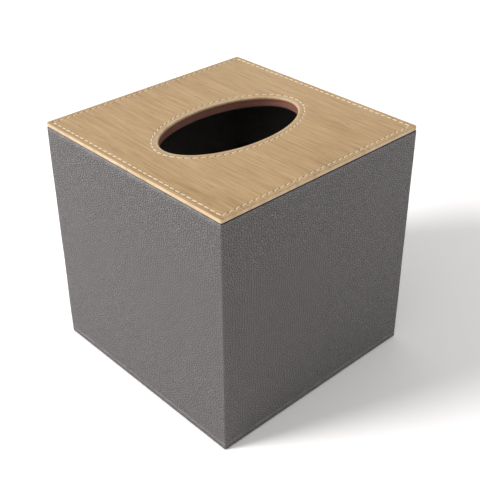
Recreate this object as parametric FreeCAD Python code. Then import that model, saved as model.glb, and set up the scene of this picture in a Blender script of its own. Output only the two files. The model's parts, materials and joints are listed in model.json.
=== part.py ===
import FreeCAD, Part
import math
import os

# A cube-shaped cover for a cube of paper tissues. Four mitred wall boards and a top board are covered in
# grey leather, a stitched wood-grain pad lies on top, and the base is a flap on a leather hinge along the
# back. The frame is in millimetres: +Z up, X along the oval opening, the front wall towards -Y, and the
# origin on the table under the centre of the cover.

# Outside of the leathered walls, and the height from the table to the top of the pad
cover_width = 149.5
cover_depth = 149.5
cover_height = 150.0

# Boards
wall_board_thickness = 5.0
top_board_thickness = 2.2
base_board_thickness = 2.0
board_corner_radius = 0.6

# Grey leather on the walls and the base, and how far it is turned in: inside the walls and on the base,
# and less on the top board, where it stops short of the oval
leather_thickness = 1.0
leather_edge_radius = 0.7
wall_corner_radius = 1.0
turn_in = 12.0
top_turn_in = 8.0
wrap_seam_gap = 0.2
wrap_seam_from_corner = 9.0

# Black lining inside the walls and the top, and the thicker one on the base flap
lining_thickness = 0.8
base_lining_thickness = 1.0
base_lining_clearance = 0.6

# Pad on top: a card under wood-grain leather that is rounded over the outline and the oval, and tucked
# under at the outline
pad_leather_thickness = 0.9
pad_card_thickness = 1.8
pad_overhang = 0.25
pad_corner_radius = 2.0
pad_edge_radius = 0.5
pad_tuck_radius = 0.6
lip_steps = 3

# Oval opening in the pad, and the strip that lines the cut edge of the board below it
oval_length = 96.0
oval_width = 53.0
edge_band_thickness = 0.6
edge_band_setback = 0.3

# Stitching, laid in a pressed channel along the outline of the pad and round the oval
stitch_pitch = 4.3
stitch_gap = 1.2
stitch_width = 0.8
stitch_slant = 9.0
stitch_end_taper = 0.4
stitch_from_outline = 3.3
stitch_from_oval = 4.0
channel_depth = 0.35
channel_side_clearance = 0.1

# Leather hinge let in flush across the back seam
hinge_side_margin = 6.0
hinge_reach_up = 15.0
hinge_reach_under = 14.0
crease_radius = 0.35

# Magnets in the lower edge of the front wall and steel keepers in the base flap below them
magnet_from_side = 30.0
magnet_length = 12.0
magnet_thickness = 3.0
magnet_height = 4.0
keeper_length = 16.0
keeper_width = 3.5
keeper_thickness = 1.2

# Glue line left between pieces whose curved or butted faces meet
glue_line = 0.1

# Levels, from the table up
base_board_bottom = leather_thickness
base_board_top = base_board_bottom + base_board_thickness
seam_level = base_board_top + leather_thickness
wall_bottom = seam_level + leather_thickness
pad_bottom = cover_height - pad_card_thickness - pad_leather_thickness
top_board_top = pad_bottom - leather_thickness
wall_top = top_board_top - top_board_thickness
flap_top = wall_bottom + turn_in
hinge_top = seam_level + hinge_reach_up
channel_floor = cover_height - channel_depth

# Plan sizes over the boards, inside the boards, and over the pad
board_width = cover_width - 2 * leather_thickness
board_depth = cover_depth - 2 * leather_thickness
inner_width = board_width - 2 * wall_board_thickness
inner_depth = board_depth - 2 * wall_board_thickness
flap_width = inner_width - 2 * leather_thickness
flap_depth = inner_depth - 2 * leather_thickness
base_window_width = board_width - 2 * turn_in
base_window_depth = board_depth - 2 * turn_in
top_window_width = board_width - 2 * top_turn_in
top_window_depth = board_depth - 2 * top_turn_in
pad_width = cover_width + 2 * pad_overhang
pad_depth = cover_depth + 2 * pad_overhang
hinge_width = cover_width - 2 * hinge_side_margin

# How far each oval stands outside the oval of the pad
band_inside = edge_band_setback
band_outside = edge_band_setback + edge_band_thickness
board_oval = band_outside + glue_line
card_oval = pad_leather_thickness + glue_line


def block(width, depth, bottom, top):
    """Square-cornered block, centred on the Z axis between two levels."""
    corner = FreeCAD.Vector(-width / 2, -depth / 2, bottom)
    return Part.makeBox(width, depth, top - bottom, corner)


def block_between(x_range, y_range, z_range):
    """Square-cornered block between two places on each axis."""
    corner = FreeCAD.Vector(x_range[0], y_range[0], z_range[0])
    return Part.makeBox(x_range[1] - x_range[0], y_range[1] - y_range[0], z_range[1] - z_range[0], corner)


def rounded_block(width, depth, bottom, top, radius):
    """Block whose four upright edges are rounded."""
    solid = block(width, depth, bottom, top)
    upright = [edge for edge in solid.Edges if abs(edge.tangentAt(edge.FirstParameter).z) > 0.5]
    return solid.makeFillet(radius, upright)


def soften(solid, levels, radius):
    """Round every edge that lies flat at one of the given levels."""
    flat = []
    for edge in solid.Edges:
        box = edge.BoundBox
        if any(abs(box.ZMin - level) < 1e-6 and abs(box.ZMax - level) < 1e-6 for level in levels):
            flat.append(edge)
    return solid.makeFillet(radius, flat)


def oval_edge(outside, level):
    """Ellipse that stands a given distance outside the oval of the pad, at one level."""
    centre = FreeCAD.Vector(0, 0, level)
    return Part.Ellipse(centre, oval_length / 2 + outside, oval_width / 2 + outside).toShape()


def oval_prism(outside, bottom, top):
    """Upright prism on such an ellipse."""
    face = Part.Face(Part.Wire([oval_edge(outside, bottom)]))
    return face.extrude(FreeCAD.Vector(0, 0, top - bottom))


def oval_lip(radius, top):
    """Space above a lip rounded by a quarter circle, as a ruled loft through ellipses that open upwards."""
    sections = []
    for step in range(lip_steps + 1):
        angle = math.radians(90 * step / lip_steps)
        outside = radius * (1 - math.cos(angle))
        level = top - radius + radius * math.sin(angle)
        sections.append(Part.Wire([oval_edge(outside, level)]))
    return Part.makeLoft(sections, True, True)


def rectangle_corners(width, depth, level):
    """Corners of a rectangle centred on the Z axis, anticlockwise from the front left."""
    ways = [(-1, -1), (1, -1), (1, 1), (-1, 1)]
    return [FreeCAD.Vector(x * width / 2, y * depth / 2, level) for x, y in ways]


def wall_boards():
    """Four mitred boards, each a trapezium in plan, with the corners of the carcass eased."""
    outer = rectangle_corners(board_width, board_depth, wall_bottom)
    inner = rectangle_corners(inner_width, inner_depth, wall_bottom)
    carcass = rounded_block(board_width, board_depth, wall_bottom, wall_top, board_corner_radius)
    boards = {}
    for index, side in enumerate(["front", "right", "back", "left"]):
        after = (index + 1) % len(outer)
        outline = [outer[index], outer[after], inner[after], inner[index], outer[index]]
        prism = Part.Face(Part.makePolygon(outline)).extrude(FreeCAD.Vector(0, 0, wall_top - wall_bottom))
        boards[side] = prism.common(carcass)
    return boards


def front_fittings(length, width, bottom, top, clearance=0.0):
    """One block for each magnet place, on the middle line of the front wall board."""
    middle = -(board_depth - wall_board_thickness) / 2
    places = []
    for side in (-1, 1):
        centre = side * (cover_width / 2 - magnet_from_side)
        reach = length / 2 + clearance
        x_range = (centre - reach, centre + reach)
        y_range = (middle - width / 2 - clearance, middle + width / 2 + clearance)
        places.append(block_between(x_range, y_range, (bottom, top)))
    return places


def stitch(length, place, direction):
    """One stitch: a low bar with tapered ends, slanted a little across its row."""
    half = length / 2
    taper = half - stitch_end_taper
    side = -stitch_width / 2
    outline = [
        FreeCAD.Vector(-half, side, 0),
        FreeCAD.Vector(half, side, 0),
        FreeCAD.Vector(taper, side, channel_depth),
        FreeCAD.Vector(-taper, side, channel_depth),
        FreeCAD.Vector(-half, side, 0),
    ]
    bar = Part.Face(Part.makePolygon(outline)).extrude(FreeCAD.Vector(0, stitch_width, 0))
    turn = math.degrees(math.atan2(direction.y, direction.x)) + stitch_slant
    bar.rotate(FreeCAD.Vector(0, 0, 0), FreeCAD.Vector(0, 0, 1), turn)
    bar.translate(place)
    return bar


def stitches_along(edge):
    """Row of stitches spaced evenly along an edge, as near the chosen pitch as a whole number allows."""
    count = max(1, round(edge.Length / stitch_pitch))
    pitch = edge.Length / count
    row = []
    for index in range(count):
        parameter = edge.getParameterByLength((index + 0.5) * pitch)
        row.append(stitch(pitch - stitch_gap, edge.valueAt(parameter), edge.tangentAt(parameter)))
    return row


# Carcass: the walls stand on the turned-in leather, and the top board lies on the walls
boards = wall_boards()
magnets = front_fittings(magnet_length, magnet_thickness, wall_bottom, wall_bottom + magnet_height)
magnet_pockets = front_fittings(
    magnet_length, magnet_thickness, wall_bottom, wall_bottom + magnet_height + glue_line, glue_line
)
boards["front"] = boards["front"].cut(magnet_pockets)
top_board = rounded_block(board_width, board_depth, wall_top, top_board_top, board_corner_radius)
top_board = top_board.cut(oval_prism(board_oval, wall_top, top_board_top))

# Grey leather round the walls: turned in over the top board, under the walls and up their inner faces
wall_wrap = rounded_block(cover_width, cover_depth, seam_level, pad_bottom, wall_corner_radius)
wall_wrap = soften(wall_wrap, [seam_level, pad_bottom], leather_edge_radius)
flap_space = block(inner_width, inner_depth, wall_bottom, flap_top)
carcass_space = block(board_width, board_depth, wall_bottom, top_board_top).cut(flap_space)
flap_window = block(flap_width, flap_depth, seam_level, flap_top)
top_window = block(top_window_width, top_window_depth, top_board_top, pad_bottom)
outer_layer = (board_depth / 2, cover_depth / 2)
hinge_reach_x = hinge_width / 2 + glue_line
hinge_space_x = (-hinge_reach_x, hinge_reach_x)
hinge_space_up = block_between(hinge_space_x, outer_layer, (seam_level, hinge_top + glue_line))
seam_x = cover_width / 2 - wrap_seam_from_corner
seam_range = (seam_x - wrap_seam_gap / 2, seam_x + wrap_seam_gap / 2)
seam_slit = block_between(seam_range, outer_layer, (hinge_top, top_board_top))
wall_wrap = wall_wrap.cut([carcass_space, flap_window, top_window, hinge_space_up, seam_slit])

# Top: a card levels the turned-in leather, a strip lines the oval, and the pad covers them
top_infill_card = block(
    top_window_width - 2 * glue_line, top_window_depth - 2 * glue_line, top_board_top, pad_bottom
)
top_infill_card = top_infill_card.cut(oval_prism(board_oval, top_board_top, pad_bottom))
opening_edge_band = oval_prism(band_outside, wall_top, pad_bottom).cut(
    oval_prism(band_inside, wall_top, pad_bottom)
)

# Pad leather: rounded over at the outline and at the lip of the oval, with two stitch channels pressed in
card_top = pad_bottom + pad_card_thickness
card_inset = 2 * pad_leather_thickness
card_radius = pad_corner_radius - pad_leather_thickness
pad_leather = rounded_block(pad_width, pad_depth, pad_bottom, cover_height, pad_corner_radius)
pad_leather = soften(pad_leather, [cover_height], pad_edge_radius)
pad_leather = soften(pad_leather, [pad_bottom], pad_tuck_radius)
oval_hole = oval_prism(0, pad_bottom, cover_height)
lip_round = oval_lip(pad_edge_radius, cover_height)
card_width = pad_width - card_inset
card_depth = pad_depth - card_inset
card_space = rounded_block(card_width, card_depth, pad_bottom, card_top, card_radius)
card_space = card_space.cut(oval_prism(pad_leather_thickness, pad_bottom, card_top))
slant_reach = (stitch_pitch - stitch_gap) * math.sin(math.radians(stitch_slant))
channel_half = (stitch_width + slant_reach) / 2 + channel_side_clearance
row_width = pad_width - 2 * stitch_from_outline
row_depth = pad_depth - 2 * stitch_from_outline
channel_width = 2 * channel_half
edge_channel = block(row_width + channel_width, row_depth + channel_width, channel_floor, cover_height).cut(
    block(row_width - channel_width, row_depth - channel_width, channel_floor, cover_height)
)
oval_channel = oval_prism(stitch_from_oval + channel_half, channel_floor, cover_height).cut(
    oval_prism(stitch_from_oval - channel_half, channel_floor, cover_height)
)
pad_leather = pad_leather.cut([oval_hole, lip_round, card_space, edge_channel, oval_channel])
pad_card = rounded_block(
    card_width - 2 * glue_line, card_depth - 2 * glue_line, pad_bottom, card_top, card_radius - glue_line
)
pad_card = pad_card.cut(oval_prism(card_oval, pad_bottom, card_top))

# Stitches: four straight rows along the outline, and one round the oval
row_corners = rectangle_corners(row_width, row_depth, channel_floor)
edge_stitches = []
for index, corner in enumerate(row_corners):
    edge_stitches += stitches_along(Part.makeLine(corner, row_corners[(index + 1) % len(row_corners)]))
opening_stitches = stitches_along(oval_edge(stitch_from_oval, channel_floor))

# Black lining: a sheet on each inner face above the turned-in leather, and one under the top board
lining_top = wall_top - lining_thickness
lining_range = (flap_top + glue_line, lining_top)
half_x, half_y = inner_width / 2, inner_depth / 2
long_x = (-half_x, half_x)
short_y = (-half_y + lining_thickness, half_y - lining_thickness)
liners = {
    "front": block_between(long_x, (-half_y, -half_y + lining_thickness), lining_range),
    "back": block_between(long_x, (half_y - lining_thickness, half_y), lining_range),
    "left": block_between((-half_x, -half_x + lining_thickness), short_y, lining_range),
    "right": block_between((half_x - lining_thickness, half_x), short_y, lining_range),
}
top_liner = block(inner_width, inner_depth, lining_top, wall_top)
top_liner = top_liner.cut(oval_prism(band_inside, lining_top, wall_top))

# Base flap: a board in the same leather, with steel keepers let in under the magnets
keepers = front_fittings(keeper_length, keeper_width, base_board_top - keeper_thickness, base_board_top)
keeper_pockets = front_fittings(
    keeper_length, keeper_width, base_board_top - keeper_thickness, base_board_top, glue_line
)
base_board = rounded_block(board_width, board_depth, base_board_bottom, base_board_top, board_corner_radius)
base_board = base_board.cut(keeper_pockets)
base_cover = rounded_block(cover_width, cover_depth, 0, seam_level, wall_corner_radius)
base_cover = soften(base_cover, [0, seam_level], leather_edge_radius)
base_board_space = block(board_width, board_depth, base_board_bottom, base_board_top)
base_window = block(base_window_width, base_window_depth, base_board_top, seam_level)
hinge_space_edge = block_between(hinge_space_x, outer_layer, (0, seam_level))
hinge_under = board_depth / 2 - hinge_reach_under
hinge_space_under = block_between(
    hinge_space_x, (hinge_under - glue_line, cover_depth / 2), (0, base_board_bottom)
)
base_cover = base_cover.cut([base_board_space, base_window, hinge_space_edge, hinge_space_under])
base_infill_card = block(
    base_window_width - 2 * glue_line, base_window_depth - 2 * glue_line, base_board_top, seam_level
)
base_liner = block(
    flap_width - 2 * base_lining_clearance,
    flap_depth - 2 * base_lining_clearance,
    seam_level,
    seam_level + base_lining_thickness,
)

# Hinge: a leather strip over the back edge and under the base, creased on the line where it folds
hinge_x = (-hinge_width / 2, hinge_width / 2)
strip_block = block_between(hinge_x, (hinge_under, cover_depth / 2), (0, hinge_top))
lower_edge = [
    edge
    for edge in strip_block.Edges
    if edge.BoundBox.ZMax < 1e-6 and edge.BoundBox.YMin > cover_depth / 2 - 1e-6
]
strip_block = strip_block.makeFillet(leather_edge_radius, lower_edge)
above_board = block_between(hinge_x, (hinge_under, board_depth / 2), (base_board_bottom, hinge_top))
fold_start = FreeCAD.Vector(-hinge_width / 2, cover_depth / 2, seam_level)
crease = Part.makeCylinder(crease_radius, hinge_width, fold_start, FreeCAD.Vector(1, 0, 0))
hinge_strip = strip_block.cut([above_board, crease])

nodes = {
    "top_board": top_board,
    "wall_wrap": wall_wrap,
    "top_infill_card": top_infill_card,
    "opening_edge_band": opening_edge_band,
    "top_pad_card": pad_card,
    "top_pad_leather": pad_leather,
    "edge_stitches": Part.makeCompound(edge_stitches),
    "opening_stitches": Part.makeCompound(opening_stitches),
    "top_liner": top_liner,
    "closure_magnets": Part.makeCompound(magnets),
    "keeper_plates": Part.makeCompound(keepers),
    "base_board": base_board,
    "base_cover": base_cover,
    "base_infill_card": base_infill_card,
    "base_liner": base_liner,
    "hinge_strip": hinge_strip,
}
for side in boards:
    nodes[side + "_wall_board"] = boards[side]
    nodes[side + "_liner"] = liners[side]

os.makedirs("parts", exist_ok=True)
for name, shape in nodes.items():
    shape.exportStep("parts/" + name + ".step")
    print(name, len(shape.Solids), "solids,", round(shape.Volume, 1), "mm3, valid", shape.isValid())
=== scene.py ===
import json

import bpy
import numpy as np
from mathutils import Matrix, Vector


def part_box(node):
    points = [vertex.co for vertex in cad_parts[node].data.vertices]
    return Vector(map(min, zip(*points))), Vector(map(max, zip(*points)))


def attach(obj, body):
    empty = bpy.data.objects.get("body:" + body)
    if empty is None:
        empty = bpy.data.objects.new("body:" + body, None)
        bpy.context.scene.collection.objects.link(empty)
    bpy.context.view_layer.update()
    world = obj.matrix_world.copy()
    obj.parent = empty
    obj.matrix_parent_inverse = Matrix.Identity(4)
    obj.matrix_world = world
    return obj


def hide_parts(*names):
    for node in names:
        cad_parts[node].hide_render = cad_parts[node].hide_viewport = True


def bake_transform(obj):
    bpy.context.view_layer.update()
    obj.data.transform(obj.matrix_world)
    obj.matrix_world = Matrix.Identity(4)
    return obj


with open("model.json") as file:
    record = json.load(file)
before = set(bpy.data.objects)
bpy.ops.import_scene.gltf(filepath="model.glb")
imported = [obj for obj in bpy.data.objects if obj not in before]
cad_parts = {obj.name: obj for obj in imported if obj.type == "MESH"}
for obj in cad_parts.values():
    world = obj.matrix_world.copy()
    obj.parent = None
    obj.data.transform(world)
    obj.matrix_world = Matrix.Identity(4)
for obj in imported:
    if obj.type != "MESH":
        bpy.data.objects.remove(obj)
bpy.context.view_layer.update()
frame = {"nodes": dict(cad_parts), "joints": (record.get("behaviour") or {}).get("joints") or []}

# Boards
# The base flap, four mitred walls and the top are cut from thin fibreboard: pressed brown wood fibre with
# pale and dark flecks. They are glued edge to edge, and leather and lining cover every face of them.
board_brown = (150, 116, 82)
board_dark = (112, 82, 55)
board_fibres = (900.0, 700.0, 2500.0), 2.2
board_clouds = 90.0, 0.35
board_roughness = 0.95, 0.8
board_relief = 0.00012
board_sides = ("front", "right", "back", "left")


def tint(red, green, blue):
    """Linear colour of a display colour whose channels run from 0 to 255."""
    share = np.array([red, green, blue]) / 255
    linear = np.where(share <= 0.04045, share / 12.92, ((share + 0.055) / 1.055) ** 2.4)
    return (*linear.tolist(), 1.0)


def start_material(name):
    """New material, its node tree, its surface shader and its Object coordinates."""
    material = bpy.data.materials.new(name)
    material.use_nodes = True
    tree = material.node_tree
    place = tree.nodes.new("ShaderNodeTexCoord").outputs["Object"]
    return material, tree, tree.nodes["Principled BSDF"], place


def feed(tree, node, inputs):
    """Sets each named or numbered input to a constant, or links a socket into it."""
    for key, value in inputs.items():
        if isinstance(value, bpy.types.NodeSocket):
            tree.links.new(value, node.inputs[key])
        else:
            node.inputs[key].default_value = value


def add(tree, kind, inputs, output=0, **settings):
    """Adds a node with its settings and inputs, and gives one of its outputs."""
    node = tree.nodes.new("ShaderNode" + kind)
    for key, value in settings.items():
        setattr(node, key, value)
    feed(tree, node, inputs)
    return node.outputs[output]


def calc(tree, operation, first, second=0.0):
    """Sum, product or other plain calculation on two values."""
    return add(tree, "Math", {0: first, 1: second}, operation=operation)


def spread(tree, value, low, high, to_low=0.0, to_high=1.0):
    """Value carried smoothly from one range to another, and held at its ends."""
    ends = {"Value": value, "From Min": low, "From Max": high, "To Min": to_low, "To Max": to_high}
    return add(tree, "MapRange", ends, interpolation_type="SMOOTHSTEP")


def blend_colour(tree, share, first, second):
    """Colour between two colours, by a share from 0 to 1."""
    return add(tree, "Mix", {0: share, 6: first, 7: second}, output=2, data_type="RGBA")


def scaled(tree, vector, factors):
    """Coordinates stretched by one factor on each axis."""
    return add(tree, "VectorMath", {0: vector, 1: factors}, operation="MULTIPLY")


def bumped(tree, height, depth, strength=1.0):
    """Normal of a surface that rises by the given depth, in metres, where height goes from 0 to 1."""
    return add(tree, "Bump", {"Height": height, "Distance": depth, "Strength": strength})


def start_group(name, inputs, outputs):
    """New shader node group with named sockets: its tree, its given values and its output node."""
    tree = bpy.data.node_groups.new(name, "ShaderNodeTree")
    for label, kind in inputs.items():
        tree.interface.new_socket(name=label, in_out="INPUT", socket_type="NodeSocket" + kind)
    for label, kind in outputs.items():
        tree.interface.new_socket(name=label, in_out="OUTPUT", socket_type="NodeSocket" + kind)
    return tree, tree.nodes.new("NodeGroupInput").outputs, tree.nodes.new("NodeGroupOutput")


def use_group(tree, group, inputs):
    """Places a node group in a material with its own values, and gives its outputs."""
    node = tree.nodes.new("ShaderNodeGroup")
    node.node_tree = group
    feed(tree, node, inputs)
    return node.outputs


def cloudy_tone():
    """Group for uneven tone: soft noise about 1 that brightens and darkens a colour in patches."""
    tree, given, out = start_group(
        "cloudy tone",
        {"Vector": "Vector", "Color": "Color", "Patches": "Float", "Contrast": "Float"},
        {"Color": "Color"},
    )
    noise = add(tree, "TexNoise", {"Vector": given["Vector"], "Scale": given["Patches"], "Detail": 3.0})
    swing = calc(tree, "MULTIPLY", calc(tree, "SUBTRACT", noise, 0.5), given["Contrast"])
    cloudy = add(tree, "HueSaturation", {"Color": given["Color"], "Value": calc(tree, "ADD", swing, 1.0)})
    tree.links.new(cloudy, out.inputs["Color"])
    return tree


def loose_fibre():
    """Group for fibres: fine noise on stretched coordinates, sharpened into strands along the long axis."""
    tree, given, out = start_group(
        "loose fibre", {"Vector": "Vector", "Stretch": "Vector", "Sharpness": "Float"}, {"Fibre": "Float"}
    )
    drawn = scaled(tree, given["Vector"], given["Stretch"])
    noise = add(tree, "TexNoise", {"Vector": drawn, "Scale": 1.0, "Detail": 3.0, "Roughness": 0.6})
    swing = calc(tree, "MULTIPLY", calc(tree, "SUBTRACT", noise, 0.5), given["Sharpness"])
    fibre = add(tree, "Math", {0: swing, 1: 0.5}, operation="ADD", use_clamp=True)
    tree.links.new(fibre, out.inputs["Fibre"])
    return tree


tone_group = cloudy_tone()
fibre_group = loose_fibre()


def toned(tree, place, colour, patches, contrast):
    """Colour made uneven in patches, of which so many lie along a metre."""
    given = {"Vector": place, "Color": colour, "Patches": patches, "Contrast": contrast}
    return use_group(tree, tone_group, given)["Color"]


def fibres(tree, place, stretch, sharpness):
    """Strands from 0 to 1, closer together on the axes with the larger stretch."""
    given = {"Vector": place, "Stretch": stretch, "Sharpness": sharpness}
    return use_group(tree, fibre_group, given)["Fibre"]


def fibrous(name, dark, light, strands, clouds, roughness, relief, more=()):
    """Material of fibres: dark and rougher between them, light and smoother on them, uneven in patches, and
    raised by the relief. More sets other inputs of its shader."""
    material, tree, shader, place = start_material(name)
    fibre = fibres(tree, place, *strands)
    colour = blend_colour(tree, fibre, tint(*dark), tint(*light))
    feed(tree, shader, {
        "Base Color": toned(tree, place, colour, *clouds),
        "Roughness": spread(tree, fibre, 0.0, 1.0, *roughness),
        "Normal": bumped(tree, fibre, relief),
    })
    feed(tree, shader, dict(more))
    return material


def dress(names, material):
    """Gives solids of the frame a finished material."""
    for name in names:
        slots = frame["nodes"][name].data.materials
        slots.clear()
        slots.append(material)


fibreboard = fibrous(
    "fibreboard", board_dark, board_brown, board_fibres, board_clouds, board_roughness, board_relief
)
dress(["base_board", "top_board"] + [side + "_wall_board" for side in board_sides], fibreboard)

# Magnets and keepers
# Two nickel-plated bar magnets are glued into the lower edge of the front wall, and two plain steel plates
# are let into the base flap below them. They hold the flap shut, and leather hides them.
nickel_grey = (196, 192, 184)
nickel_marks = (500.0, 1800.0, 1800.0)
nickel_smoothest = 0.2
steel_grey = (148, 148, 150)
steel_marks = (150.0, 5000.0, 5000.0)
steel_smoothest = 0.32
mark_sharpness = 2.6
mark_roughness = 0.2
mark_relief = 0.00002
metal_clouds = 400.0, 0.3


def marked_metal(name, bright, stretch, smoothest):
    """Metal with fine marks from rolling or tumbling in its roughness and its surface, and a tone uneven
    in patches.
    """
    material, tree, shader, place = start_material(name)
    marks = fibres(tree, place, stretch, mark_sharpness)
    feed(tree, shader, {
        "Base Color": toned(tree, place, tint(*bright), *metal_clouds),
        "Metallic": 1.0,
        "Roughness": spread(tree, marks, 0.0, 1.0, smoothest, smoothest + mark_roughness),
        "Normal": bumped(tree, marks, mark_relief),
    })
    return material


dress(["closure_magnets"], marked_metal("nickel plate", nickel_grey, nickel_marks, nickel_smoothest))
dress(["keeper_plates"], marked_metal("rolled steel", steel_grey, steel_marks, steel_smoothest))

# Leather of the base flap
# One piece of pebbled grey leather covers the underside of the base board, goes over its edges and is turned
# in on its upper face. At the back it is cut away where the hinge strip is let in.
leather_light = (117, 113, 112)
# Darkest colour, reached in the creases as painted shade.
leather_dark = (24, 23, 23)
# Colour of the painted shade under the pad's edge, darkest on the front and right walls.
leather_painted_shade = (22, 20, 19)
# Pale edge colour: partly wear, partly a painted highlight where the edges catch the light.
leather_wear_and_highlight = (178, 174, 172)
leather_clouds = 110.0, 0.12
leather_roughness = 0.6, 0.36
gloss_range = 0.2, 1.0
leather_relief = 0.00045
pebbles_per_metre = 600.0
pebble_flattening = (1.0, 1.25, 1.0)
pebble_scatter = 0.9
pebble_wander = 0.0005
pebble_crease = 0.26
fine_per_pebble = 3.3
fine_share = 0.3
crease_shade = 0.1
crease_range = 0.05, 0.9
pebble_shade = 0.84
pebble_range = 0.1, 0.9
crinkle_fibres = (160.0, 620.0, 160.0), 2.0
crinkle_shade = 0.9, 1.03
crinkle_range = 0.2, 0.8
crinkle_relief = 0.3
wear_highlight_patches = 220.0
wear_highlight_amount = 0.6
edge_break = 0.3, 0.65
edge_least = 0.4
leather_thickness = 1.0
leather_edge_radius = 0.5
leather_corner_radius = 1.0
inner_corner_radius = 0.3
hidden_gap = 0.02
base_turn_in = 12.0
# Reach of the pale upper edge of the base flap: wear and a painted highlight.
base_wear_and_highlight = 0.5
corner_wear_and_highlight = 0.25
corner_wear_and_highlight_reach = 1.0
wear_and_highlight_fade = 0.5
hinge_skin = 0.1
hinge_joint = 0.08
cut_half_width = 0.06
cut_margin = 1.0
seam_from_corner = 9.0
seam_steps = np.array([-0.9, -0.3, -0.12, 0.0, 0.12, 0.3, 0.9])
face_spacing = 2.4
edge_spacing = 1.2
hidden_spacing = 12.0
corner_steps = 6
straight_keep = 58.0


def pebbled_grain():
    """Group for leather grain: cells round scattered points, whose borders wander and are pressed in as
    creases, a finer unevenness on the pebbles, and a tone that differs from pebble to pebble."""
    tree, given, out = start_group(
        "pebbled grain",
        {"Vector": "Vector", "Pebbles": "Float", "Wander": "Float", "Crease Width": "Float"},
        {"Height": "Float", "Tone": "Float"},
    )
    place, count = given["Vector"], given["Pebbles"]
    noise = add(tree, "TexNoise", {"Vector": place, "Scale": count, "Detail": 1.0}, output=1)
    centred = add(tree, "VectorMath", {0: noise, 1: (0.5, 0.5, 0.5)}, operation="SUBTRACT")
    drift = add(tree, "VectorMath", {0: centred, "Scale": given["Wander"]}, operation="SCALE")
    moved = add(tree, "VectorMath", {0: place, 1: drift}, operation="ADD")
    pebbles = {"Vector": moved, "Scale": count, "Randomness": pebble_scatter}
    border = add(tree, "TexVoronoi", pebbles, feature="DISTANCE_TO_EDGE", voronoi_dimensions="2D")
    chance = add(tree, "TexVoronoi", pebbles, output="Color", voronoi_dimensions="2D")
    crease = spread(tree, border, 0.0, given["Crease Width"], 1.0, 0.0)
    finer = calc(tree, "MULTIPLY", count, fine_per_pebble)
    fine = add(tree, "TexNoise", {"Vector": place, "Scale": finer, "Detail": 2.0})
    pebble = calc(tree, "MULTIPLY", calc(tree, "SUBTRACT", 1.0, crease), 1 - fine_share)
    height = calc(tree, "ADD", pebble, calc(tree, "MULTIPLY", fine, fine_share))
    tree.links.new(height, out.inputs["Height"])
    tree.links.new(chance, out.inputs["Tone"])
    return tree


def patchy_edge():
    """Group for edges: a mask broken up by noise, so that paleness, from wear and from a painted highlight,
    comes and goes along an edge.
    """
    tree, given, out = start_group(
        "patchy edge",
        {"Vector": "Vector", "Edge": "Float", "Patches": "Float", "Amount": "Float"},
        {"Mask": "Float"},
    )
    noise = add(tree, "TexNoise", {"Vector": given["Vector"], "Scale": given["Patches"], "Detail": 2.0})
    broken = spread(tree, noise, *edge_break, edge_least, 1.0)
    mask = calc(tree, "MULTIPLY", calc(tree, "MULTIPLY", given["Edge"], broken), given["Amount"])
    tree.links.new(mask, out.inputs["Mask"])
    return tree


pebble_group = pebbled_grain()
edge_group = patchy_edge()


def mask_of(tree, label):
    """Values from 0 to 1 that a piece carries at its points."""
    return add(tree, "Attribute", {}, output="Fac", attribute_name=label)


def patchy_edge_mask(tree, place, patches, amount):
    """Edge mask of a piece, broken up in patches, of which so many lie along a metre."""
    given = {"Vector": place, "Edge": mask_of(tree, "edge"), "Patches": patches, "Amount": amount}
    return use_group(tree, edge_group, given)["Mask"]


def grey_leather():
    """Dark satin leather: pebbles lighter than the creases, whose darkness is painted shade, fine crinkles
    along the hide, cloudy tone, edges paler from wear and from a painted highlight, and painted shade under
    what lies on it."""
    material, tree, shader, place = start_material("grey leather")
    hide = add(tree, "Attribute", {}, output="Vector", attribute_name="hide")
    grain = use_group(tree, pebble_group, {
        "Vector": scaled(tree, hide, pebble_flattening),
        "Pebbles": pebbles_per_metre,
        "Wander": pebble_wander,
        "Crease Width": pebble_crease,
    })
    crinkle = fibres(tree, hide, *crinkle_fibres)
    # The creases are painted darker than the pebbles: painted shade in the grain.
    by_height = spread(tree, grain["Height"], *crease_range, crease_shade, 1.0)
    by_pebble = spread(tree, grain["Tone"], *pebble_range, pebble_shade, 1.0)
    by_crinkle = spread(tree, crinkle, *crinkle_range, *crinkle_shade)
    lightness = calc(tree, "MULTIPLY", calc(tree, "MULTIPLY", by_height, by_pebble), by_crinkle)
    relief = calc(tree, "ADD", grain["Height"], calc(tree, "MULTIPLY", crinkle, crinkle_relief))
    colour = blend_colour(tree, lightness, tint(*leather_dark), tint(*leather_light))
    # Edges paler from wear and from a painted highlight.
    colour = blend_colour(tree, patchy_edge_mask(tree, place, wear_highlight_patches, wear_highlight_amount), colour, tint(*leather_wear_and_highlight))
    # Painted shade under the pad's edge, laid by the mask that the wall leather carries.
    colour = blend_colour(tree, mask_of(tree, "painted_shade"), colour, tint(*leather_painted_shade))
    feed(tree, shader, {
        "Base Color": toned(tree, place, colour, *leather_clouds),
        "Roughness": spread(tree, grain["Height"], *gloss_range, *leather_roughness),
        "Normal": bumped(tree, relief, leather_relief),
    })
    return material


leather = grey_leather()


def box_mm(node):
    """Lowest and highest corner of a solid of the frame, in millimetres."""
    low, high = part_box(node)
    return np.array(low) * 1000, np.array(high) * 1000


def arc(middle, radius, start, end, steps=6):
    """Points of a profile on a circle, from one angle to another in degrees."""
    angle = np.radians(np.linspace(start, end, steps + 1))
    return np.stack([middle[0] + radius * np.cos(angle), middle[1] + radius * np.sin(angle)], axis=1)


def run(start, end, spacing):
    """Points of a profile on a straight line between two points that are listed elsewhere."""
    start, end = np.array(start, float), np.array(end, float)
    steps = max(1, int(np.ceil(np.linalg.norm(end - start) / spacing)))
    return start + np.arange(1, steps)[:, None] / steps * (end - start)


quarter_turn = np.array([[0.0, 1.0], [-1.0, 0.0]])


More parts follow.
